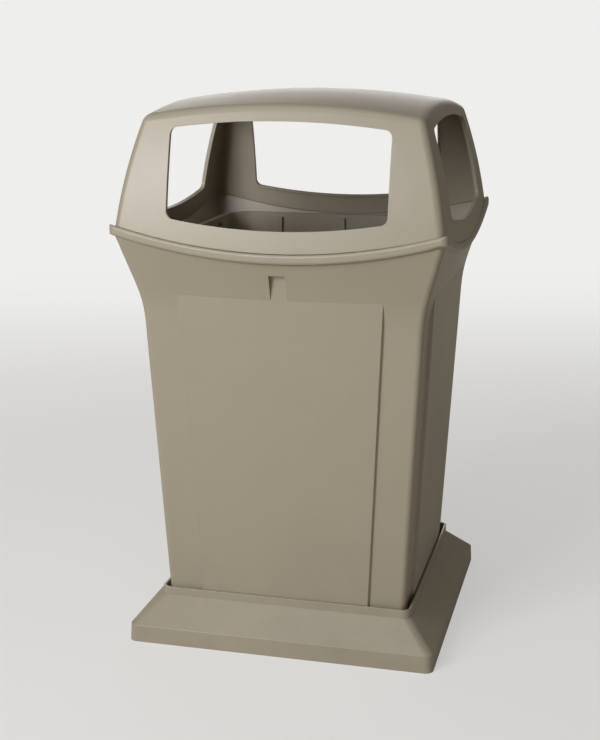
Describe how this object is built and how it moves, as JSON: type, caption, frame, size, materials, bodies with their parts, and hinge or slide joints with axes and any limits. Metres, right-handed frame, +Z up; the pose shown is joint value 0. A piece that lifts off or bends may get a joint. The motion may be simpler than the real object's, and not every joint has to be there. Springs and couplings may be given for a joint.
{
  "type": "outdoor trash can",
  "caption": "Tall square outdoor litter container with raised side panels, a sloping plinth, a lift-out liner and a hinged dome hood that is open on every side.",
  "frame": {"origin": "on the floor under the middle of the plinth", "axes": "+Z up, -Y towards the front with the scoop and the lock, +X to the right as seen from above with the front towards the viewer"},
  "size_m": [0.622, 0.648, 1.054],
  "materials": {
    "container_plastic": "fine moulded grain, satin",
    "liner_plastic": "smooth moulded, satin",
    "hinge_paint": "satin paint",
    "plain_steel": "plain zinc plate",
    "lock_brass": "turned"
  },
  "bodies": {
    "container": {"base_plinth": "container_plastic", "body_shell": "container_plastic", "hinge_bracket_left": "hinge_paint", "hinge_bracket_right": "hinge_paint", "hinge_pin_left": "plain_steel", "hinge_pin_right": "plain_steel", "hinge_pin_clips": "plain_steel", "hinge_bracket_screws": "plain_steel", "lock_housing": "plain_steel", "lock_nut": "plain_steel", "base_bolts": "plain_steel", "base_washers": "plain_steel", "base_nuts": "plain_steel"},
    "hood": {"hood_shell": "container_plastic", "hinge_leaf_left": "hinge_paint", "hinge_leaf_right": "hinge_paint", "hinge_leaf_screws": "plain_steel", "lock_strike": "hinge_paint", "strike_screws": "plain_steel"},
    "liner": {"rigid_liner": "liner_plastic"},
    "lock": {"lock_plug": "lock_brass", "lock_cam": "plain_steel", "lock_cam_screw": "plain_steel"}
  },
  "joints": [
    {"name": "hood_hinge", "type": "hinge", "parent": "container", "child": "hood", "pos_m": [0, 0.328, 0.772], "axis": [-1, 0, 0], "range_deg": [0, 100]},
    {"name": "liner_lift", "type": "slide", "parent": "container", "child": "liner", "axis": [0, 0, 1], "range_m": [0, 0.15]},
    {"name": "lock_turn", "type": "hinge", "parent": "container", "child": "lock", "pos_m": [0, -0.28, 0.755], "axis": [0, 0, -1], "range_deg": [0, 90]}
  ]
}
